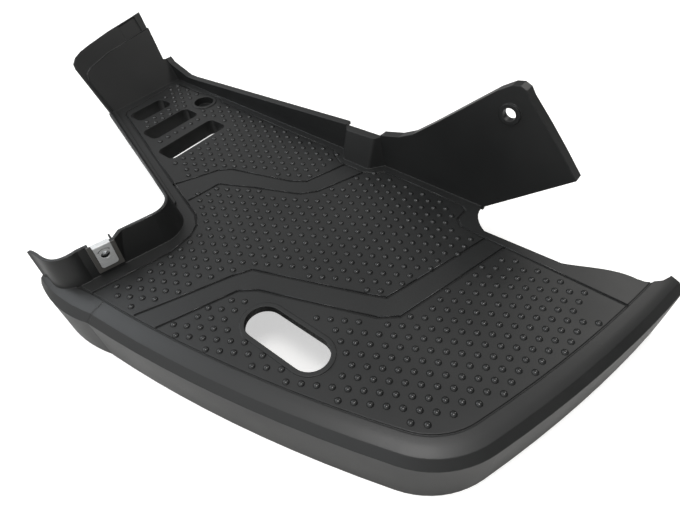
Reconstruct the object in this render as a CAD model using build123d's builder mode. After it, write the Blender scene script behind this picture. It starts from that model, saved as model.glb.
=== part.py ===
from build123d import *
import math
import os

# Left footboard of a small motorbike, sizes in mm.
# +X runs forward to the ramp, +Y outward to the lip, +Z up.
# The origin lies on the floor screw's axis, on the face its head sits on.

# Tread floor
seat_depth = 7.0
floor_thickness = 3.0
edge_drop = 6.0
groove_width = 1.6
groove_depth = 0.9

# Studs, in three fields with hexagonal spacing
stud_pitch = 10.0
stud_radius = 2.0
stud_height = 1.3
stud_sides = 4
stud_root = 0.3

# Screw seat
screw_hole_diameter = 6.5
seat_diameter = 21.0
seat_rim_diameter = 27.0
seat_floor = 3.0
rim_rise = 0.9

# Three slots behind the ramp, each given by its rear edge, front edge and the range across
slots = [(28.0, 49.5, 23.0, 66.0), (-14.5, 8.5, 20.0, 79.0), (-58.0, -33.5, 19.0, 91.0)]
slot_corner = 6.0
slot_collar = 2.5
slot_depth = 16.5

# Stadium hole
stadium_centre = (-292.5, 177.5)
stadium_spread = 43.0
stadium_radius = 14.0
stadium_rim = 3.5

# Lip that runs along the outer and rear edges
lip_face = 13.5
lip_face_fall = 2.6
lip_bevel = 5.5
lip_bevel_fall = 5.0
skirt_height = 44.0
skirt_tuck = 2.3
skirt_thickness = 2.8
lip_corner_radius = 50.0
lip_front = (-160.0, 234.0)
lip_outer_mid = (-263.0, 218.3)
lip_corner = (-415.3, 175.3)
lip_rear_mid = (-453.9, 56.3)
lip_rear_end = (-472.3, -31.0)
tip_places = [(-131.0, 238.5), (-112.0, 243.0), (-95.0, 246.5)]
tip_scales = [1.05, 0.76, 0.38]

# Tall inner wall, its ear and its rim
wall_inner = -19.0
wall_thickness = 2.5
rim_thickness = 3.0
front_rim_width = 7.0
ear_rim_width = 8.5
ear_hole = (-342.0, 90.0)
ear_hole_diameter = 10.0
ear_collar_diameter = 16.0
ear_collar_rise = 1.5

# Half-round column in the tall wall
column_front = -184.5
column_rear = -235.5
column_reach = 13.2
column_lean = 0.28
column_taper = 0.2
column_shoulder = 0.83
column_rounding = 5.0
column_hollow_height = 23.0
column_top = 34.0

# Ramp at the front
bend_x = 70.0
ramp_slope = 60.0
ramp_thickness = 3.0
ramp_step = 2.0

# Notch wall with its clip pad
notch_height = 26.5
notch_lean = 12.0
notch_corner_radius = 24.0
blade_corner_radius = 17.0
kerb_height = 2.5
tongue_height = 7.0
pad_station = 67.2
pad_width = 20.5
pad_foot = 3.0
pad_reach = 2.2
pad_thickness = 3.2
pad_cheek = 2.0
joggle_width = 10.0
nut_height = 18.0
nut_clearance_diameter = 8.0
clip_width = 13.5
clip_length = 21.0
clip_sheet = 1.2
clip_bore_diameter = 5.2
clip_barrel_diameter = 8.5
clip_barrel_length = 4.0
clip_window_diameter = 7.0
clip_corner = 2.5

# Underside ribs
rib_thickness = 2.0
rib_depth = 7.0
cross_ribs = [(-430.0, 5.0, 122.0), (-360.0, 12.0, 184.0), (-220.0, 15.0, 215.0), (-150.0, 15.0, 132.0),
              (-80.0, 15.0, 112.0)]
long_rib = (-435.0, -75.0, 100.0)

tread = seat_depth
lip_reach = lip_face + lip_bevel
skirt_foot = lip_face_fall + lip_bevel_fall + skirt_height
row_pitch = stud_pitch * math.sqrt(3) / 2
outer_face = wall_inner - wall_thickness
wall_mid = wall_inner - wall_thickness / 2

tongue_root = (68.0, 75.3)
notch_corner = (-151.4, 145.8)
blade_corner = (-127.8, 247.2)
blade_end = (-97.0, 248.2)
notch_seam = (-130.1, 237.2)

kerb_line = [(68.0, 70.0), (-114.5, 130.6), (-119.5, 137.0), (68.0, 78.5)]

lean = math.tan(math.radians(notch_lean))
notch_mid = wall_thickness / 2

# Clip pad: directions along and out from the notch wall
along = (Vector(*blade_corner) - Vector(*notch_corner)).normalized()
outward = Vector(along.Y, -along.X)
pad_plane = Plane(origin=Vector(*notch_corner) + along * pad_station + Vector(0, 0, tread), x_dir=along,
                  z_dir=outward)

# Floor's rear edge in plan, from the lip to the tall wall's foot
rear_step = (-462.0, -31.0)
rear_curve = [(-462.0, -11.8), (-453.8, -11.7), (-446.0, -10.0), (-431.0, -4.0), (-412.4, 4.5)]
rear_bay = [(-350.0, 6.3), (-338.5, -4.5), (-333.5, wall_mid)]

# What is trimmed off the lip: its skirt near the tip, its skirt at the rear end, and its rear end in plan
skirt_low = tread - skirt_foot - 0.2
tip_trim = [(-112.0, skirt_low), (-97.0, tread - 42), (-96.0, tread - 12), (-80.0, tread - 12),
            (-80.0, tread - 80), (-112.0, tread - 80)]
rear_trim = [(-16.0, skirt_low), (-27.0, tread - 40), (-31.0, tread - 26), (-34.0, tread - 12),
             (-34.0, tread - 80), (-16.0, tread - 80)]
end_trim = [(-461.5, -45.0), (-461.5, -12.0), (-466.0, -12.4), (-469.4, -14.3), (-471.4, -16.8),
            (-475.8, -21.4), (-478.4, -27.3), (-479.1, -29.7), (-483.0, -45.0)]

# Wall outline along and up, measured from the tread, then lifted
front_line = [(83.0, 21.5), (77.5, 16.0), (49.5, 7.0), (39.5, 7.0), (-190.0, 26.9)]
ear_line = [(-229.0, 28.9), (-249.5, 34.9), (-263.1, 42.5), (-272.7, 50.8), (-285.9, 62.4), (-312.1, 86.3),
            (-330.6, 103.1), (-340.2, 109.7), (-345.3, 110.8), (-349.5, 109.0), (-353.0, 103.9),
            (-368.6, 87.7), (-383.4, 71.3), (-397.8, 54.5)]
front_rim = [(x, z + tread) for x, z in front_line]
ear_rim = [(x, z + tread) for x, z in ear_line]
wall_foot = [(-335.6, tread), (-335.6, tread - floor_thickness), (-322.0, tread - edge_drop),
             (68.0, tread - edge_drop)]

# Ramp plane: x runs to the wall side, y up the slope
slope = math.radians(ramp_slope)
ramp_plane = Plane(origin=(bend_x, 0, tread), x_dir=(0, -1, 0),
                   z_dir=(-math.sin(slope), 0, math.cos(slope)))
ramp_edge = -outer_face
ramp_face = [(ramp_edge, -4), (ramp_edge, 24.5), (15.5, 26.5), (19.5, 62.9), (-38, 56.6), (-66, 50),
             (-72.6, 46.4), (-75, 40), (-70, -4)]
ramp_lap = [(8.5, -5), (8.5, 56), (-37, 50), (-66, 43.5), (-64, -5)]
ramp_head = [(ramp_edge, -4), (ramp_edge, 24.5), (15.5, 26.5), (20.5, 81.2), (-24, 75.3), (-52.6, 70.4),
             (-64.8, 67.7), (-73.6, 64.2), (-78.4, 59.9), (-79.5, 54.7), (-74, -4)]
head_recess = [(12, 60), (12, 85), (-11.5, 85), (-11.5, 60)]

# Grooves in the tread, as lines in plan
border_groove = [(-145.5, 236.5), (-160.5, 173), (-158.5, 151), (-152.5, 139), (-140.5, 131), (-118.5, 124),
                 (52, 68), (58, 62), (62.5, 1), (58.5, -10), (20, -11), (10, -16.2), (-8, -16.2),
                 (-18, -11), (-179, -11), (-186, -5), (-198, 1), (-222, 1), (-235, -5), (-240, -11),
                 (-320.5, -10), (-325.5, -7), (-325.5, 6), (-332.5, 13), (-464.5, 16.5)]
rear_band_upper = [(-190, 229.5), (-220.8, 159.3), (-228.1, 147), (-313.3, 114.6), (-327, 108.4), (-335.5, 81),
                   (-354.8, 14)]
rear_band_lower = [(-212, 227), (-234.7, 168.5), (-246.5, 158.9), (-331.9, 126.9), (-344.5, 116.7),
                   (-371.5, 14)]
front_band_upper = [(-91, 116), (-109.5, 76.4), (-118.9, 68), (-177.5, 49), (-189.9, 41), (-203, 1)]
front_band_lower = [(-121, 122), (-126, 90), (-157.5, 74.6), (-196.5, 58), (-207.5, 46), (-224.5, 1)]

# Fields of studs, as outlines of where stud centres may lie
front_field = [(-458, 38), (-443, 38), (-440, 20), (-373, 20), (-364, 50), (-347, 118), (-334, 134),
               (-300, 144), (-250, 166), (-236, 173), (-214, 226), (-260, 216.5), (-331, 199.3),
               (-364, 190.3), (-398, 177), (-418, 154.5), (-431.5, 123.5), (-442, 90), (-451, 56)]
middle_field = [(-351, 17), (-349, 34), (-331, 90), (-322, 107.5), (-229, 142), (-216.2, 157.4),
                (-187.5, 226), (-151, 231), (-164.5, 173), (-162.5, 150), (-155, 136), (-142, 127.5),
                (-121, 120.5), (-117, 112), (-129, 92), (-147, 82), (-157, 78.5), (-197, 62), (-211, 48),
                (-222, 15), (-229, -6), (-300, -6), (-320, 4), (-330, 17)]
upper_field = [(-196, -7.5), (-186, 36), (-176, 43), (-117, 64), (-104, 72), (-94, 104), (52, 58),
               (57, -7.5)]


def inside(spot, outline):
    x, y = spot
    within = False
    for (xa, ya), (xb, yb) in zip(outline, outline[1:] + outline[:1]):
        if (ya > y) != (yb > y) and x < xa + (y - ya) * (xb - xa) / (yb - ya):
            within = not within
    return within


def clear_of_openings(spot):
    x, y = spot
    margin = stud_radius + 0.8
    for rear, front, near, far in slots:
        if rear - margin < x < front + margin and near - margin < y < far + margin:
            return False
    if math.hypot(x, y) < seat_rim_diameter / 2 + margin:
        return False
    half = stadium_spread / 2
    along = min(max(x, stadium_centre[0] - half), stadium_centre[0] + half)
    reach = math.hypot(x - along, y - stadium_centre[1] + 1.5)
    return reach > stadium_radius + stadium_rim + margin


def stud_spots(first_x, first_y, outline):
    spots = []
    for row in range(-56, 8):
        x = first_x + row * row_pitch
        for place in range(-3, 25):
            y = first_y + (row % 2) * stud_pitch / 2 + place * stud_pitch
            if inside((x, y), outline) and clear_of_openings((x, y)):
                spots.append((x, y, tread))
    return spots


def pad_at(shift, height=0.0):
    return pad_plane.origin + along * shift + Vector(0, 0, height)


def slot_sketch(grow):
    for rear, front, near, far in slots:
        with Locations(((rear + front) / 2, (near + far) / 2)):
            RectangleRounded(front - rear + 2 * grow, far - near + 2 * grow, slot_corner + grow)


def lip_profile(scale_out, scale_down, foot):
    # outward and downward from the seam
    face = lip_face * scale_out
    edge = lip_reach * scale_out
    crest = lip_face_fall * scale_down
    brow = crest + lip_bevel_fall * scale_down
    toe = edge - skirt_tuck * scale_out * (foot - brow) / skirt_height
    inner = skirt_thickness
    with BuildSketch() as profile:
        with BuildLine():
            Polyline((-3, 0.9), (1.2 * scale_out, 0.9), (1.2 * scale_out, 0.1))
            ThreePointArc((1.2 * scale_out, 0.1), (face * 0.52, crest * 0.32), (face, crest))
            Polyline((face, crest), (edge, brow), (toe, foot), (toe - inner, foot),
                     (edge - inner - 0.3, brow + 1.6), (face - 1.2, crest + 3.2), (1.0, 3.4),
                     (-3, 2.2), (-3, 0.9))
        make_face()
    return profile.sketch


def wall_section(slant):
    # up from the tread, and outward into the notch
    low, high = -edge_drop, notch_height
    with BuildSketch() as section:
        with BuildLine():
            Polyline((low, slant * low - notch_mid), (high, slant * high - notch_mid),
                     (high, slant * high + notch_mid), (low, slant * low + notch_mid), close=True)
        make_face()
    return section.sketch


def column_outline(height, shrink, back):
    front = column_front - column_taper * height - shrink
    rear = column_rear + column_taper * height + shrink
    reach = column_reach - column_lean * height
    shoulder = column_shoulder * reach
    with BuildSketch() as outline:
        with BuildLine():
            Polyline((front, back), (front - shoulder, wall_inner + reach - shrink),
                     (rear + shoulder, wall_inner + reach - shrink), (rear, back), close=True)
        make_face()
        fillet(outline.vertices().group_by(Axis.Y)[-1], radius=column_rounding)
    return outline.sketch


# One small pointed stud with a few sides, sunk a little so that it joins the floor
with BuildPart() as stud:
    with BuildSketch(Plane.XY.offset(-stud_root)):
        RegularPolygon(stud_radius * (1 + stud_root / stud_height), stud_sides)
    loft(sections=[stud.pending_faces[0], Vertex(0, 0, stud_height)])


# Line of the seam between tread and lip, in plan
with BuildLine() as seam_line:
    ThreePointArc(lip_front, lip_outer_mid, lip_corner)
    ThreePointArc(lip_corner, lip_rear_mid, lip_rear_end)
    fillet(seam_line.vertices().sort_by_distance(lip_corner)[0], radius=lip_corner_radius)

# Line of the notch wall, in plan, from the ramp's foot to the blade, and the blade's own line
blade_root = Vector(*blade_corner) - along * 1.2 * blade_corner_radius
with BuildLine() as notch_line:
    Polyline(tongue_root, notch_corner, (blade_root.X, blade_root.Y))
    fillet(notch_line.vertices().sort_by_distance(notch_corner)[0], radius=notch_corner_radius)
with BuildLine() as blade_line:
    Polyline((blade_root.X, blade_root.Y), blade_corner, blade_end)
    fillet(blade_line.vertices().sort_by_distance(blade_corner)[0], radius=blade_corner_radius)

# Floor's own edge under that wall
with BuildLine() as notch_edge:
    Polyline(tongue_root, notch_corner, notch_seam)
    fillet(notch_edge.vertices().sort_by_distance(notch_corner)[0], radius=notch_corner_radius)

lift = Location((0, 0, tread))
seam_path = seam_line.wire().moved(lift)
notch_path = notch_line.wire().moved(lift)
blade_path = blade_line.wire().moved(lift)

# Footboard: one moulding in plastic
with BuildPart() as footboard:
    # Floor plate: seam with the lip, rear edge, wall side, ramp side and notch side
    with BuildSketch(Plane.XY.offset(tread)):
        with BuildLine():
            add(seam_line.line)
            Polyline(lip_rear_end, rear_step, rear_curve[0])
            Spline(rear_curve)
            Line(rear_curve[-1], rear_bay[0])
            ThreePointArc(rear_bay)
            Polyline(rear_bay[-1], (bend_x + 1.5, wall_mid), (bend_x + 1.5, tongue_root[1]), tongue_root)
            add(notch_edge.line)
            Line(notch_seam, lip_front)
        make_face()
    extrude(amount=-floor_thickness)

    # Lip and skirt, swept along the seam, then drawn out to the front tip
    with BuildSketch(Plane(origin=seam_path @ 0, x_dir=(0, 1, 0), z_dir=seam_path % 0)) as lip_section:
        add(lip_profile(1, 1, skirt_foot))
    sweep(path=seam_path)
    with BuildSketch(Plane(origin=seam_path @ 0, x_dir=(0, 1, 0), z_dir=(-1, 0, 0))) as tip_start:
        add(lip_profile(1, 1, skirt_foot))
    for place, scale_out in zip(tip_places, tip_scales):
        with BuildSketch(Plane(origin=(*place, tread), x_dir=(0, 1, 0), z_dir=(-1, 0, 0))):
            add(lip_profile(scale_out, 1, skirt_foot))
    loft()

    # Skirt ends short of the tip, and its lower edge rises towards the rear end
    with BuildSketch(Plane.XZ.offset(-200)):
        with BuildLine():
            Polyline(tip_trim, close=True)
        make_face()
    extrude(amount=-80, mode=Mode.SUBTRACT)
    with BuildSketch(Plane.YZ.offset(-520)):
        with BuildLine():
            Polyline(rear_trim, close=True)
        make_face()
    extrude(amount=70, mode=Mode.SUBTRACT)
    with BuildSketch(Plane.XY.offset(tread - 60)):
        with BuildLine():
            Polyline(end_trim, close=True)
        make_face()
    extrude(amount=80, mode=Mode.SUBTRACT)

    # Tall inner wall with its ear
    with BuildSketch(Plane.XZ.offset(-wall_inner)):
        with BuildLine():
            Polyline(front_rim + ear_rim + wall_foot, close=True)
        make_face()
    extrude(amount=wall_thickness)
    with BuildSketch(Plane.XZ.offset(-wall_inner)):
        with BuildLine():
            Polyline(front_rim)
        trace(line_width=rim_thickness)
    extrude(amount=front_rim_width)
    with BuildSketch(Plane.XZ.offset(-wall_inner)):
        with BuildLine():
            Polyline(ear_rim)
        trace(line_width=rim_thickness)
    extrude(amount=ear_rim_width)

    # Column that leans back into the wall, hollow from behind and capped along the wall's top line
    for height in (-edge_drop, column_top):
        with BuildSketch(Plane.XY.offset(tread + height)):
            add(column_outline(height, 0, wall_mid))
    loft()
    with BuildSketch(Plane.XZ.offset(-wall_inner - column_reach)):
        with BuildLine():
            Polyline(front_rim[-1], ear_rim[0], (ear_rim[0][0], tread + column_top + 1),
                     (front_rim[-1][0], tread + column_top + 1), close=True)
        make_face()
    extrude(amount=column_reach + ear_rim_width + 1, mode=Mode.SUBTRACT)
    for height in (-2 * edge_drop, column_hollow_height):
        with BuildSketch(Plane.XY.offset(tread + height)):
            add(column_outline(height, wall_thickness, wall_inner - 4))
    loft(mode=Mode.SUBTRACT)

    # Screw eye in the ear
    with BuildSketch(Plane.XZ.offset(-wall_inner - ear_collar_rise)):
        with Locations((ear_hole[0], tread + ear_hole[1])):
            Circle(ear_collar_diameter / 2)
    extrude(amount=wall_thickness + 2 * ear_collar_rise)
    with BuildSketch(Plane.XZ.offset(-wall_inner - 5)):
        with Locations((ear_hole[0], tread + ear_hole[1])):
            Circle(ear_hole_diameter / 2)
    extrude(amount=wall_thickness + 10, mode=Mode.SUBTRACT)

    # Notch wall, leaning outward, low along the tongue and high round the corner
    with BuildSketch(Plane(origin=notch_path @ 0, x_dir=(0, 0, 1), z_dir=notch_path % 0)):
        add(wall_section(lean))
    sweep(path=notch_path, transition=Transition.ROUND)
    with BuildSketch(Plane.XZ.offset(-60)):
        with BuildLine():
            Polyline((-112, tread + notch_height + 0.2), (-25, tread + tongue_height), (110, tread + tongue_height),
                     (110, tread + 80), (-112, tread + 80), close=True)
        make_face()
    extrude(amount=-110, mode=Mode.SUBTRACT)

    # Blade: the same wall turned forward, standing upright by its tip
    for share in (0, 0.3, 0.5, 0.7, 1):
        with BuildSketch(Plane(origin=blade_path @ share, x_dir=(0, 0, 1), z_dir=blade_path % share)):
            add(wall_section(lean * (1 - share)))
    loft()

    # Kerb inside the wall along the tongue
    with BuildSketch(Plane.XY.offset(tread - floor_thickness / 2)):
        with BuildLine():
            Polyline(kerb_line, close=True)
        make_face()
    extrude(amount=floor_thickness / 2 + kerb_height)

    # Clip pad: an upright slab in the leaning wall, with a slanted facet on the tread's corner side
    with BuildSketch(Plane(origin=pad_at(pad_width / 2), x_dir=outward, z_dir=-along)):
        with BuildLine():
            Polyline((-pad_reach, pad_foot), (-pad_reach, notch_height), (lean * notch_height, notch_height),
                     (lean * pad_foot, pad_foot), close=True)
        make_face()
    extrude(amount=pad_width)
    side = -pad_width / 2
    with BuildSketch(Plane(origin=pad_at(0, pad_foot), x_dir=along, z_dir=(0, 0, 1))):
        with BuildLine():
            Polyline((side + 0.5, pad_reach), (side + 0.5, -lean * pad_foot), (side - 1, -lean * pad_foot),
                     close=True)
        make_face()
    with BuildSketch(Plane(origin=pad_at(0, notch_height), x_dir=along, z_dir=(0, 0, 1))):
        with BuildLine():
            Polyline((side + 0.5, pad_reach), (side + 0.5, -lean * notch_height),
                     (side - joggle_width, -lean * notch_height), close=True)
        make_face()
    loft(ruled=True)
    with BuildSketch(Plane(origin=pad_at(0, pad_foot), x_dir=along, z_dir=(0, 0, 1))):
        with BuildLine():
            Polyline((side + 0.6, -1), (side + 0.6, -4), (side - 0.5, -4), close=True)
        make_face()
    with BuildSketch(Plane(origin=pad_at(0, notch_height + 1), x_dir=along, z_dir=(0, 0, 1))):
        with BuildLine():
            Polyline((side + 0.6, -1), (side + 0.6, -10), (side - joggle_width, -10), close=True)
        make_face()
    loft(ruled=True, mode=Mode.SUBTRACT)
    with BuildSketch(pad_plane.offset(pad_thickness - pad_reach)):
        with Locations((0, pad_foot + pad_cheek + notch_height / 2)):
            Rectangle(pad_width - 2 * pad_cheek, notch_height)
    extrude(amount=12, mode=Mode.SUBTRACT)
    with BuildSketch(pad_plane.offset(-5)):
        with Locations((0, nut_height)):
            Circle(nut_clearance_diameter / 2)
    extrude(amount=12, mode=Mode.SUBTRACT)

    # Ramp: a face sheet, with a head and a side strip stepped back behind it
    with BuildSketch(ramp_plane):
        with BuildLine():
            Polyline(ramp_face, close=True)
        make_face()
    extrude(amount=-ramp_thickness)
    with BuildSketch(ramp_plane.offset(-ramp_step)):
        with BuildLine():
            Polyline(ramp_head, close=True)
        make_face()
        with BuildLine():
            Polyline(ramp_lap, close=True)
        make_face(mode=Mode.SUBTRACT)
    extrude(amount=-ramp_thickness)
    with BuildSketch(ramp_plane.offset(-ramp_step)):
        with BuildLine():
            Polyline(head_recess, close=True)
        make_face()
    extrude(amount=-ramp_thickness / 2, mode=Mode.SUBTRACT)

    # Slots with collars below, stadium hole and screw seat
    with BuildSketch(Plane.XY.offset(tread - floor_thickness / 2)):
        slot_sketch(slot_collar)
    extrude(amount=floor_thickness / 2 - slot_depth)
    with BuildSketch(Plane.XY.offset(tread + 5)):
        slot_sketch(0)
    extrude(amount=-30, mode=Mode.SUBTRACT)
    with BuildSketch(Plane.XY.offset(tread + rim_rise)):
        with Locations(stadium_centre):
            SlotCenterToCenter(stadium_spread, 2 * (stadium_radius + stadium_rim))
    extrude(amount=-rim_rise - floor_thickness - 2)
    with BuildSketch(Plane.XY.offset(tread + 5)):
        with Locations(stadium_centre):
            SlotCenterToCenter(stadium_spread, 2 * stadium_radius)
    extrude(amount=-30, mode=Mode.SUBTRACT)
    with BuildSketch(Plane.XY.offset(-seat_floor)):
        Circle(seat_rim_diameter / 2)
    extrude(amount=seat_floor + seat_depth + rim_rise)
    with BuildSketch():
        Circle(seat_diameter / 2)
    extrude(amount=seat_depth + 5, mode=Mode.SUBTRACT)
    with BuildSketch(Plane.XY.offset(-seat_floor - 5)):
        Circle(screw_hole_diameter / 2)
    extrude(amount=seat_floor + 10, mode=Mode.SUBTRACT)

    # Plain ribs below the floor
    with BuildSketch(Plane.XY.offset(tread - floor_thickness / 2)):
        for x, near, far in cross_ribs:
            with Locations((x, (near + far) / 2)):
                Rectangle(rib_thickness, far - near)
        with Locations(((long_rib[0] + long_rib[1]) / 2, long_rib[2])):
            Rectangle(long_rib[1] - long_rib[0], rib_thickness)
    extrude(amount=floor_thickness / 2 - rib_depth)

    # Grooves pressed into the tread
    with BuildSketch(Plane.XY.offset(tread)):
        for line in (border_groove, rear_band_upper, rear_band_lower, front_band_upper, front_band_lower):
            with BuildLine():
                Polyline(line)
            trace(line_width=groove_width)
    extrude(amount=-groove_depth, mode=Mode.SUBTRACT)

    # Studs
    spots = stud_spots(13.9, 2.3, front_field)
    spots += stud_spots(9.3, 5.9, middle_field)
    spots += stud_spots(12.5, 7.8, upper_field)
    with Locations(*spots):
        add(stud.part, clean=False)


# Clip nut: folded spring steel over the pad, with a threaded barrel behind
with BuildPart() as clip_nut:
    front = -pad_reach - clip_sheet
    back = pad_thickness - pad_reach
    leg_middle = notch_height + clip_sheet - clip_length / 2
    with BuildSketch(pad_plane.offset(front)):
        with Locations((0, leg_middle)):
            Rectangle(clip_width, clip_length)
    extrude(amount=pad_thickness + 2 * clip_sheet)
    with BuildSketch(pad_plane.offset(-pad_reach)):
        with Locations((0, leg_middle - clip_sheet)):
            Rectangle(clip_width, clip_length)
    extrude(amount=pad_thickness, mode=Mode.SUBTRACT)
    fillet(clip_nut.edges().filter_by(Axis(pad_plane.origin, along)).group_by(Axis.Z)[-1], radius=clip_sheet * 0.8)
    fillet(clip_nut.edges().filter_by(Axis(pad_plane.origin, outward)).group_by(Axis.Z)[0], radius=clip_corner)
    with BuildSketch(pad_plane.offset(back + clip_sheet / 2)):
        with Locations((0, nut_height)):
            Circle(clip_barrel_diameter / 2)
    extrude(amount=clip_sheet / 2 + clip_barrel_length)
    with BuildSketch(pad_plane.offset(back - 0.1)):
        with Locations((0, nut_height)):
            Circle(clip_bore_diameter / 2)
    extrude(amount=clip_barrel_length + 2 * clip_sheet, mode=Mode.SUBTRACT)
    with BuildSketch(pad_plane.offset(front - 1)):
        with Locations((0, nut_height)):
            Circle(clip_window_diameter / 2)
        with BuildLine():
            ThreePointArc((-4.8, nut_height + 3.6), (0, nut_height + 6), (4.8, nut_height + 3.6))
        trace(line_width=0.9)
    extrude(amount=clip_sheet + 1.5, mode=Mode.SUBTRACT)


footboard.part.label = "footboard"
clip_nut.part.label = "clip_nut"
os.makedirs("parts", exist_ok=True)
export_step(footboard.part, "parts/footboard.step")
export_step(clip_nut.part, "parts/clip_nut.step")
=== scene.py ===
import math

import bmesh
import bpy
from mathutils import Matrix, Vector


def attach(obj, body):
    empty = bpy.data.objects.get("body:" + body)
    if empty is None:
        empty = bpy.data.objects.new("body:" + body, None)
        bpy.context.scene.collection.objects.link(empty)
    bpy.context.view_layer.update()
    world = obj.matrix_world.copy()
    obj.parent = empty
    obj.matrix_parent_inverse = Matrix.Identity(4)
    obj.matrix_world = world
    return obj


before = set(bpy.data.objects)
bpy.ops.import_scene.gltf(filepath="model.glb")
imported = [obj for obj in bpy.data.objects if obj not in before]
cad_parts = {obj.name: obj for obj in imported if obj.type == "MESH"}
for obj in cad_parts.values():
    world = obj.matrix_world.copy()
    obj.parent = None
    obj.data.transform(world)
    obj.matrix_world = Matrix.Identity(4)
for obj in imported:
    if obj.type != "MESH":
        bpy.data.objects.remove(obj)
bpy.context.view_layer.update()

# The board: floor, lip, walls, ear and ramp in one piece.
# It is injection moulded in black polypropylene, with a fine spark-eroded grain from the mould.
# Every face carries that grain, and broad patches of it are a little dusty and duller.


def new_material(name):
    material = bpy.data.materials.new(name)
    material.use_nodes = True
    shader = material.node_tree.nodes["Principled BSDF"]
    return material, material.node_tree, shader


def make_grain_group():
    group = bpy.data.node_groups.new("Mould grain", "ShaderNodeTree")
    face = group.interface
    for label in ("Grain per metre", "Dust share", "Smooth", "Rough"):
        face.new_socket(label, in_out="INPUT", socket_type="NodeSocketFloat")
    for label in ("Clean colour", "Dusty colour"):
        face.new_socket(label, in_out="INPUT", socket_type="NodeSocketColor")
    face.new_socket("Colour", in_out="OUTPUT", socket_type="NodeSocketColor")
    face.new_socket("Roughness", in_out="OUTPUT", socket_type="NodeSocketFloat")
    face.new_socket("Height", in_out="OUTPUT", socket_type="NodeSocketFloat")
    nodes, links = group.nodes, group.links
    entry = nodes.new("NodeGroupInput")
    leave = nodes.new("NodeGroupOutput")
    place = nodes.new("ShaderNodeTexCoord")
    fine = nodes.new("ShaderNodeTexNoise")
    fine.inputs["Detail"].default_value = 3
    fine.inputs["Roughness"].default_value = 0.6
    links.new(place.outputs["Object"], fine.inputs["Vector"])
    links.new(entry.outputs["Grain per metre"], fine.inputs["Scale"])
    broad = nodes.new("ShaderNodeTexNoise")
    broad.inputs["Scale"].default_value = 14
    broad.inputs["Detail"].default_value = 5
    links.new(place.outputs["Object"], broad.inputs["Vector"])
    dust = nodes.new("ShaderNodeMapRange")
    dust.inputs["From Min"].default_value = 0.35
    dust.inputs["From Max"].default_value = 0.75
    links.new(broad.outputs["Fac"], dust.inputs["Value"])
    dust_share = nodes.new("ShaderNodeMath")
    dust_share.operation = "MULTIPLY"
    links.new(dust.outputs["Result"], dust_share.inputs[0])
    links.new(entry.outputs["Dust share"], dust_share.inputs[1])
    colour = nodes.new("ShaderNodeMix")
    colour.data_type = "RGBA"
    links.new(dust_share.outputs["Value"], colour.inputs["Factor"])
    links.new(entry.outputs["Clean colour"], colour.inputs["A"])
    links.new(entry.outputs["Dusty colour"], colour.inputs["B"])
    gloss = nodes.new("ShaderNodeMapRange")
    gloss.inputs["From Min"].default_value = 0.3
    gloss.inputs["From Max"].default_value = 0.7
    links.new(broad.outputs["Fac"], gloss.inputs["Value"])
    links.new(entry.outputs["Smooth"], gloss.inputs["To Min"])
    links.new(entry.outputs["Rough"], gloss.inputs["To Max"])
    links.new(colour.outputs["Result"], leave.inputs["Colour"])
    links.new(gloss.outputs["Result"], leave.inputs["Roughness"])
    links.new(fine.outputs["Fac"], leave.inputs["Height"])
    return group


mould_grain = make_grain_group()


def moulded_plastic(name, clean, dusty, smooth, rough, grain_height, edge_radius=0):
    material, tree, shader = new_material(name)
    grain = tree.nodes.new("ShaderNodeGroup")
    grain.node_tree = mould_grain
    grain.inputs["Grain per metre"].default_value = 1600
    grain.inputs["Dust share"].default_value = 0.5
    grain.inputs["Smooth"].default_value = smooth
    grain.inputs["Rough"].default_value = rough
    grain.inputs["Clean colour"].default_value = (*clean, 1)
    grain.inputs["Dusty colour"].default_value = (*dusty, 1)
    bump = tree.nodes.new("ShaderNodeBump")
    bump.inputs["Strength"].default_value = 0.35
    bump.inputs["Distance"].default_value = grain_height
    tree.links.new(grain.outputs["Height"], bump.inputs["Height"])
    if edge_radius:
        rounding = tree.nodes.new("ShaderNodeBevel")
        rounding.samples = 6
        rounding.inputs["Radius"].default_value = edge_radius
        tree.links.new(rounding.outputs["Normal"], bump.inputs["Normal"])
    tree.links.new(bump.outputs["Normal"], shader.inputs["Normal"])
    tree.links.new(grain.outputs["Colour"], shader.inputs["Base Color"])
    tree.links.new(grain.outputs["Roughness"], shader.inputs["Roughness"])
    return material


board_plastic = moulded_plastic(
    "Board plastic",
    clean=(0.010, 0.0105, 0.0105),
    dusty=(0.016, 0.0165, 0.016),
    smooth=0.36,
    rough=0.48,
    grain_height=0.00008,
    edge_radius=0.001,
)
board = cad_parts["footboard"]
board.data.materials.clear()
board.data.materials.append(board_plastic)

# The studs of the tread, moulded in one with the board.
# Each is a low round dome about 5 mm across, and shoes keep it smoother than the floor round it.
# One dome is turned from its profile, then set over each of the board's plain pointed studs.


def mesh_piece(name, shape, material):
    mesh = bpy.data.meshes.new(name)
    shape.to_mesh(mesh)
    shape.free()
    mesh.materials.append(material)
    piece = bpy.data.objects.new(name, mesh)
    bpy.context.scene.collection.objects.link(piece)
    return piece


def only_verts(items):
    return [item for item in items if isinstance(item, bmesh.types.BMVert)]


floor_level = 0.007
stud_rise = 0.0013
tip_tolerance = 0.00001
stud_tips = set()
for vertex in board.data.vertices:
    spot = board.matrix_world @ vertex.co
    if abs(spot.z - floor_level - stud_rise) < tip_tolerance:
        stud_tips.add((round(spot.x, 5), round(spot.y, 5)))

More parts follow.
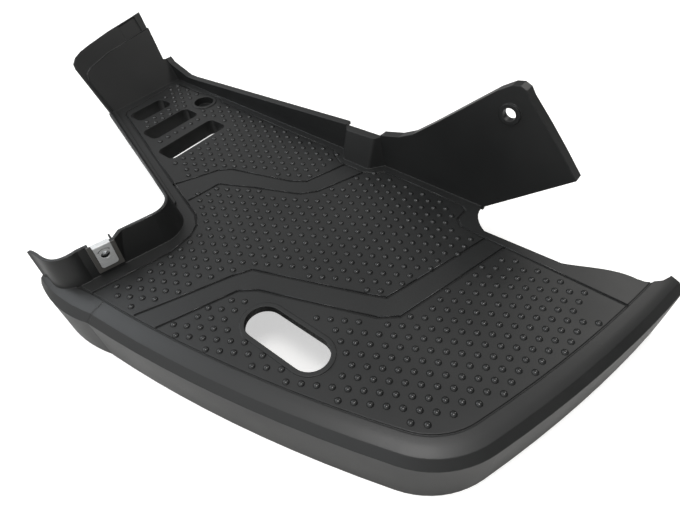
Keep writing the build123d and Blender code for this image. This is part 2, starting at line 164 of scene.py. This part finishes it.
dome_profile = [(0.00255, -0.0001), (0.0023, 0.0005), (0.0017, 0.00115), (0.0008, 0.00152)]
dome_sides = 10
domes = bmesh.new()
profile = [domes.verts.new((radius, 0, height)) for radius, height in dome_profile]
for lower, upper in zip(profile, profile[1:]):
    domes.edges.new((lower, upper))
bmesh.ops.spin(
    domes, geom=domes.verts[:] + domes.edges[:], cent=(0, 0, 0), axis=(0, 0, 1),
    angle=2 * math.pi, steps=dome_sides, use_merge=True,
)
crown = [edge for edge in domes.edges if edge.is_boundary and edge.verts[0].co.z > 0]
bmesh.ops.edgeloop_fill(domes, edges=crown)
bmesh.ops.recalc_face_normals(domes, faces=domes.faces)
for face in domes.faces:
    face.smooth = True
first_dome = domes.verts[:] + domes.edges[:] + domes.faces[:]
for x, y in sorted(stud_tips):
    copied = bmesh.ops.duplicate(domes, geom=first_dome)
    bmesh.ops.translate(domes, verts=only_verts(copied["geom"]), vec=(x, y, floor_level))
bmesh.ops.delete(domes, geom=only_verts(first_dome), context="VERTS")

stud_plastic = moulded_plastic(
    "Stud plastic",
    clean=(0.012, 0.0125, 0.0125),
    dusty=(0.02, 0.021, 0.021),
    smooth=0.18,
    rough=0.28,
    grain_height=0.00004,
)
studs = mesh_piece("stud_domes", domes, stud_plastic)
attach(studs, "root")

# A short stretch of the lip, where its curved run meets the part that is drawn out to the tip.
# It is one with the moulding, in the same plastic and with the same section.
# The two runs of the lip meet at a small angle, and this stretch closes the wedge between them.
lip_start = Vector((-0.160, 0.234, floor_level))
run_turn = math.radians(5.85)
lip_section = [
    (-0.003, -0.0009), (0.0012, -0.0009), (0.0012, -0.0001), (0.007, -0.00083), (0.0135, -0.0026),
    (0.019, -0.0076), (0.0167, -0.05157), (0.0139, -0.05157), (0.0159, -0.0092), (0.0123, -0.0058),
    (0.001, -0.0034), (-0.003, -0.0022),
]
lip_inset = 0.00002
lip_overlap = 0.0002
joint = bmesh.new()
near_end = joint.faces.new([
    joint.verts.new(lip_start + Vector((lip_overlap, out - lip_inset, down - lip_inset)))
    for out, down in lip_section
])
drawn = bmesh.ops.extrude_face_region(joint, geom=[near_end])
far_end = only_verts(drawn["geom"])
bmesh.ops.translate(joint, verts=far_end, vec=(-2 * lip_overlap, 0, 0))
bmesh.ops.rotate(joint, verts=far_end, cent=lip_start, matrix=Matrix.Rotation(run_turn, 3, "Z"))
bmesh.ops.recalc_face_normals(joint, faces=joint.faces)
lip_joint = mesh_piece("lip_joint", joint, board_plastic)
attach(lip_joint, "root")

# A dark sheet in the grooves that divide the tread into panels, a little above their floors.
# Each groove is a narrow channel moulded into the floor, less than a millimetre deep.
# The sheet is near black and dull: painted shade, standing in for the shade of a deeper groove.
groove_lines = [
    [
        (-145.5, 236.5), (-160.5, 173), (-158.5, 151), (-152.5, 139), (-140.5, 131), (-118.5, 124),
        (52, 68),
    ],
    [(58.5, -10), (20, -11)],
    [(-18, -11), (-179, -11)],
    [(-198, 1), (-222, 1)],
    [(-240, -11), (-320.5, -10)],
    [(-332.5, 13), (-464.5, 16.5)],
    [
        (-190, 229.5), (-220.8, 159.3), (-228.1, 147), (-313.3, 114.6), (-327, 108.4), (-335.5, 81),
        (-354.8, 14),
    ],
    [(-212, 227), (-234.7, 168.5), (-246.5, 158.9), (-331.9, 126.9), (-344.5, 116.7), (-371.5, 14)],
    [(-91, 116), (-109.5, 76.4), (-118.9, 68), (-177.5, 49), (-189.9, 41), (-203, 1)],
    [(-121, 122), (-126, 90), (-157.5, 74.6), (-196.5, 58), (-207.5, 46), (-224.5, 1)],
]
mm_per_metre = 1000
front_way = Vector((0.6, -0.8, 0))
groove_runs = []
for line in groove_lines:
    for start, stop in zip(line, line[1:]):
        start = Vector((*start, 0)) / mm_per_metre
        stop = Vector((*stop, 0)) / mm_per_metre
        run = (stop - start).normalized()
        away = Vector((-run.y, run.x, 0))
        if away.dot(front_way) < 0:
            away = -away
        groove_runs.append((start, stop, away))

groove_half = 0.0007
groove_depth = 0.0007
channels = bmesh.new()
for start, stop, away in groove_runs:
    near_side = channels.edges.new([
        channels.verts.new(spot - away * groove_half + Vector((0, 0, floor_level - groove_depth)))
        for spot in (start, stop)
    ])
    drawn = bmesh.ops.extrude_edge_only(channels, edges=[near_side])
    bmesh.ops.translate(channels, verts=only_verts(drawn["geom"]), vec=away * 2 * groove_half)
channels.normal_update()
bmesh.ops.reverse_faces(channels, faces=[face for face in channels.faces if face.normal.z < 0])
# Painted shade: near-black, dull plastic for the sheet in the grooves.
groove_shade_plastic = moulded_plastic(
    "Groove painted shade",
    clean=(0.003, 0.003, 0.003),
    dusty=(0.006, 0.006, 0.006),
    smooth=0.7,
    rough=0.8,
    grain_height=0.00004,
)
groove_shade_sheet = mesh_piece("groove_shade_sheet", channels, groove_shade_plastic)
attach(groove_shade_sheet, "root")

# The rounded rims of the moulding: ramp head, ramp face, notch wall and blade, and the groove edges.
# The mould leaves a small round along each of these edges, and it catches the light as a pale line.
# Their plastic is also painted a little lighter and bluer than the board: a painted highlight.
# They are one with the board and lie half sunk in its edges.
rims = bmesh.new()
lean_of_side = Vector((0.3, 0.1, 0.95))


def rim(points, radius, sides=8):
    rings = []
    for place, point in enumerate(points):
        before = points[max(place - 1, 0)]
        after = points[min(place + 1, len(points) - 1)]
        run = (after - before).normalized()
        side_way = run.cross(lean_of_side).normalized()
        up_way = side_way.cross(run)
        facing = Matrix((up_way, side_way, run)).transposed().to_4x4()
        ring = bmesh.ops.create_circle(
            rims, segments=sides, radius=radius, matrix=Matrix.Translation(point) @ facing
        )
        rings.append(list({edge for vert in ring["verts"] for edge in vert.link_edges}))
    for near_ring, far_ring in zip(rings, rings[1:]):
        bmesh.ops.bridge_loops(rims, edges=near_ring + far_ring)
    bmesh.ops.edgeloop_fill(rims, edges=rings[0])
    bmesh.ops.edgeloop_fill(rims, edges=rings[-1])


ramp_foot = 0.070
ramp_run = 0.5
ramp_rise = 0.866


def on_ramp(across, up, depth):
    along_floor = ramp_foot + ramp_run * up - ramp_rise * depth
    return Vector((along_floor, -across, floor_level + ramp_rise * up + ramp_run * depth))


head_edge = [
    (0.0155, 0.030), (0.0198, 0.0802), (-0.024, 0.0743), (-0.0524, 0.0694), (-0.0643, 0.0668),
    (-0.0729, 0.0634), (-0.0775, 0.0594), (-0.0785, 0.0545), (-0.0732, 0.001),
]
head_step = -0.0035
head_rim = 0.00145
rim([on_ramp(across, up, head_step) for across, up in head_edge], head_rim)
face_edge = [
    (0.0185, 0.0623), (-0.038, 0.056), (-0.0657, 0.0494), (-0.072, 0.0459), (-0.0743, 0.0398),
]
face_sink = -0.0004
face_rim = 0.0006
rim([on_ramp(across, up, face_sink) for across, up in face_edge], face_rim)

along = Vector((0.0236, 0.1014, 0)).normalized()
outward = Vector((along.y, -along.x, 0))
corner = Vector((-0.1514, 0.1458, 0))
tongue_end = Vector((0.068, 0.0753, 0))
tongue = (tongue_end - corner).normalized()
tongue_out = Vector((-tongue.y, tongue.x, 0))
tongue_length = 0.2304
wall_lean = 0.2126
wall_top = 0.0256
wall_low = 0.0061
wall_slope = 0.2241
slope_start = -0.025
corner_radius = 0.024
corner_steps = 8


def wall_height(x):
    return min(wall_top, wall_low + max(slope_start - x, 0) * wall_slope)


def wall_edge(spot, way, height):
    return Vector((spot.x, spot.y, floor_level + height)) + way * wall_lean * height


corner_reach = corner_radius * math.tan((math.pi - tongue.angle(along)) / 2)
corner_centre = corner + tongue * corner_reach + tongue_out * corner_radius
start_turn = math.atan2(-tongue_out.y, -tongue_out.x)
end_turn = math.atan2(-outward.y, -outward.x)
sweep = (end_turn - start_turn + math.pi) % (2 * math.pi) - math.pi
wall_rim = 0.00135
tongue_shares = (1.0, 0.576, 0.42, 0.2, 0.1)
notch_rim = []
for share in tongue_shares:
    spot = corner + tongue * tongue_length * share
    notch_rim.append(wall_edge(spot, tongue_out, wall_height(spot.x)))
for step in range(corner_steps + 1):
    corner_turn = start_turn + sweep * step / corner_steps
    way = Vector((-math.cos(corner_turn), -math.sin(corner_turn), 0))
    spot = corner_centre - way * corner_radius
    notch_rim.append(wall_edge(spot, way, wall_height(spot.x)))
pad_start = 0.0455
notch_rim.append(wall_edge(corner + along * pad_start, outward, wall_top))
rim(notch_rim, wall_rim)
pad_end = 0.0785
blade_start = 0.083
rim([wall_edge(corner + along * reach, outward, wall_top) for reach in (pad_end, blade_start)], wall_rim)

bead_offset = 0.00115
bead_sink = 0.0001
bead_radius = 0.0004
bead_sides = 6
for start, stop, away in groove_runs:
    shift = away * bead_offset + Vector((0, 0, floor_level - bead_sink))
    rim([start + shift, stop + shift], bead_radius, bead_sides)

bmesh.ops.recalc_face_normals(rims, faces=rims.faces)
for face in rims.faces:
    face.smooth = len(face.verts) == 4
# Painted highlight: lighter, bluer plastic than the board's, for the pale lines along the rims.
rim_highlight_plastic = moulded_plastic(
    "Rim painted highlight",
    clean=(0.014, 0.0145, 0.015),
    dusty=(0.022, 0.023, 0.024),
    smooth=0.22,
    rough=0.32,
    grain_height=0.00004,
)
moulded_rims = mesh_piece("moulded_rims", rims, rim_highlight_plastic)
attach(moulded_rims, "root")

# The frame round the clip nut, moulded on the face of the pad.
# It stands just under a millimetre proud of the pad, round the sides and the foot of the nut.
# Its plastic is painted much paler and warmer than the board: a painted highlight standing in for the
# light along its rims.
pad_station = 0.0672
pad_centre = corner + along * pad_station + Vector((0, 0, floor_level))
pad_face = 0.0021
frame_rise = 0.0009
frame_softening = 0.0003
frame_outline = [
    (-0.01025, 0.0268), (-0.01025, 0.003), (0.01025, 0.003), (0.01025, 0.0305), (0.007, 0.0305),
    (0.007, 0.009), (0.0062, 0.0072), (0.0044, 0.0064), (-0.0044, 0.0064), (-0.0062, 0.0072),
    (-0.007, 0.009), (-0.007, 0.0268),
]
border = bmesh.new()
border_back = border.faces.new([
    border.verts.new(pad_centre + along * across - outward * pad_face + Vector((0, 0, up)))
    for across, up in frame_outline
])
raised = bmesh.ops.extrude_face_region(border, geom=[border_back])
bmesh.ops.translate(border, verts=only_verts(raised["geom"]), vec=-outward * frame_rise)
bmesh.ops.recalc_face_normals(border, faces=border.faces)
bmesh.ops.bevel(
    border, geom=border.edges[:], offset=frame_softening, segments=2, profile=0.5,
    affect="EDGES", material=-1,
)
# Painted highlight: a pale tan colour for the frame, which is moulded in the board's own black plastic.
frame_highlight_plastic = moulded_plastic(
    "Frame painted highlight",
    clean=(0.085, 0.082, 0.077),
    dusty=(0.125, 0.121, 0.112),
    smooth=0.4,
    rough=0.55,
    grain_height=0.00006,
)
pad_frame = mesh_piece("pad_frame", border, frame_highlight_plastic)
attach(pad_frame, "root")

# The clip nut on the notch wall.
# It is folded from zinc-plated spring steel and pushed over the square pad, where it grips by itself.
# The plating is bright, with fine rolling lines.
zinc, tree, shader = new_material("Zinc plate")
shader.inputs["Metallic"].default_value = 0.35
place = tree.nodes.new("ShaderNodeTexCoord")
stretch = tree.nodes.new("ShaderNodeMapping")
stretch.inputs["Scale"].default_value = (200, 200, 2500)
rolling = tree.nodes.new("ShaderNodeTexNoise")
rolling.inputs["Scale"].default_value = 1
rolling.inputs["Detail"].default_value = 4
tree.links.new(place.outputs["Object"], stretch.inputs["Vector"])
tree.links.new(stretch.outputs["Vector"], rolling.inputs["Vector"])
tone = tree.nodes.new("ShaderNodeValToRGB")
dull, bright = tone.color_ramp.elements
dull.position = 0.3
dull.color = (0.6, 0.61, 0.61, 1)
bright.position = 0.7
bright.color = (0.74, 0.75, 0.75, 1)
tree.links.new(rolling.outputs["Fac"], tone.inputs["Fac"])
tree.links.new(tone.outputs["Color"], shader.inputs["Base Color"])
shine = tree.nodes.new("ShaderNodeMapRange")
shine.inputs["To Min"].default_value = 0.4
shine.inputs["To Max"].default_value = 0.55
tree.links.new(rolling.outputs["Fac"], shine.inputs["Value"])
tree.links.new(shine.outputs["Result"], shader.inputs["Roughness"])
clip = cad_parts["clip_nut"]
clip.data.materials.clear()
clip.data.materials.append(zinc)

# The floor of the studio: a large sheet of matt white paper under the board.
# It shows nearly white to the camera and keeps the board's shadow.
# It isn't part of the board.
floor_height = -0.0447
floor_size = 4.0
sheet = bmesh.new()
bmesh.ops.create_grid(sheet, x_segments=1, y_segments=1, size=floor_size)
bmesh.ops.translate(sheet, verts=sheet.verts, vec=(-0.2, 0.1, floor_height))
paper, tree, shader = new_material("White paper")
shader.inputs["Base Color"].default_value = (0.74, 0.735, 0.72, 1)
shader.inputs["Roughness"].default_value = 0.9
shader.inputs["Specular IOR Level"].default_value = 0.1
glow = tree.nodes.new("ShaderNodeEmission")
glow.inputs["Color"].default_value = (1, 1, 1, 1)
path = tree.nodes.new("ShaderNodeLightPath")
seen = tree.nodes.new("ShaderNodeMath")
seen.operation = "MULTIPLY"
seen.inputs[1].default_value = 0.55
join = tree.nodes.new("ShaderNodeAddShader")
output = tree.nodes["Material Output"]
tree.links.new(path.outputs["Is Camera Ray"], seen.inputs[0])
tree.links.new(seen.outputs["Value"], glow.inputs["Strength"])
tree.links.new(shader.outputs["BSDF"], join.inputs[0])
tree.links.new(glow.outputs["Emission"], join.inputs[1])
tree.links.new(join.outputs["Shader"], output.inputs["Surface"])
ground = mesh_piece("Ground", sheet, paper)

# The air round the board: a soft white dome that fades from bright on one side to dark on the other.
# The camera sees it plain white, so the background is even.
# Only the board's own faces pick up the fade.
world = bpy.data.worlds.new("Studio air")
bpy.context.scene.world = world
world.use_nodes = True
air = world.node_tree
sky = air.nodes["Background"]
sky.inputs["Color"].default_value = (1, 1, 1, 1)
ray = air.nodes.new("ShaderNodeNewGeometry")
slant = air.nodes.new("ShaderNodeVectorMath")
slant.operation = "DOT_PRODUCT"
slant.inputs[1].default_value = (-0.35, -0.55, -0.76)
air.links.new(ray.outputs["Incoming"], slant.inputs[0])
fade = air.nodes.new("ShaderNodeMapRange")
fade.inputs["From Min"].default_value = -0.3
fade.inputs["From Max"].default_value = 0.9
fade.inputs["To Min"].default_value = 0.05
fade.inputs["To Max"].default_value = 0.9
air.links.new(slant.outputs["Value"], fade.inputs["Value"])
air_path = air.nodes.new("ShaderNodeLightPath")
brightness = air.nodes.new("ShaderNodeMix")
brightness.data_type = "FLOAT"
brightness.inputs["B"].default_value = 1
air.links.new(fade.outputs["Result"], brightness.inputs["A"])
air.links.new(air_path.outputs["Is Camera Ray"], brightness.inputs["Factor"])
air.links.new(brightness.outputs["Result"], sky.inputs["Strength"])

# Four soft boxes, large and weak, hung round and above the board.
# The cool ones light the outer side and the front, and the warm one lights the wall from behind.
# Each hangs at its place and is aimed at a spot on the board.


def soft_box(name, place, aim, width, height, power, colour):
    lamp = bpy.data.lights.new(name, "AREA")
    lamp.shape = "RECTANGLE"
    lamp.size = width
    lamp.size_y = height
    lamp.energy = power
    lamp.color = colour
    holder = bpy.data.objects.new(name, lamp)
    holder.location = place
    holder.rotation_euler = (Vector(aim) - Vector(place)).to_track_quat("-Z", "Y").to_euler()
    bpy.context.scene.collection.objects.link(holder)


cool = (0.88, 0.94, 1.0)
soft_box("Front box", (0.9, 0.45, 1.0), (-0.2, 0.15, 0), 0.8, 0.8, 5, cool)
soft_box("Rear box", (-0.59, -0.95, 0.95), (-0.45, 0.05, 0), 0.5, 0.5, 3, (1.0, 0.98, 0.95))
soft_box("Outer box", (-0.2, 1.4, 1.0), (-0.2, 0.1, 0), 1.4, 0.7, 2, cool)
soft_box("Top box", (-0.5, 0.3, 1.4), (-0.4, 0.2, 0), 0.5, 0.5, 8, (1.0, 0.99, 0.98))

# The camera, where the one that took the picture stood.
# It looks down on the board from its outer rear corner, with a lens of medium width.
# Its three directions are worked out from the regular grid of the studs.
camera = bpy.data.cameras.new("Photo camera")
camera.sensor_width = 36.0
camera.lens = 27.392
camera.clip_start = 0.01
camera_place = (-0.46139, 0.30229, 0.29840)
camera_right = Vector((-0.77667, -0.62740, -0.05607))
camera_up = Vector((0.42344, -0.58594, 0.69092))
camera_back = Vector((-0.46634, 0.51288, 0.72075))
camera_turn = Matrix((camera_right, camera_up, camera_back)).transposed().to_4x4()
camera_holder = bpy.data.objects.new("Photo camera", camera)
camera_holder.matrix_world = Matrix.Translation(camera_place) @ camera_turn
bpy.context.scene.collection.objects.link(camera_holder)
bpy.context.scene.camera = camera_holder
bpy.context.scene.view_settings.view_transform = "Standard"
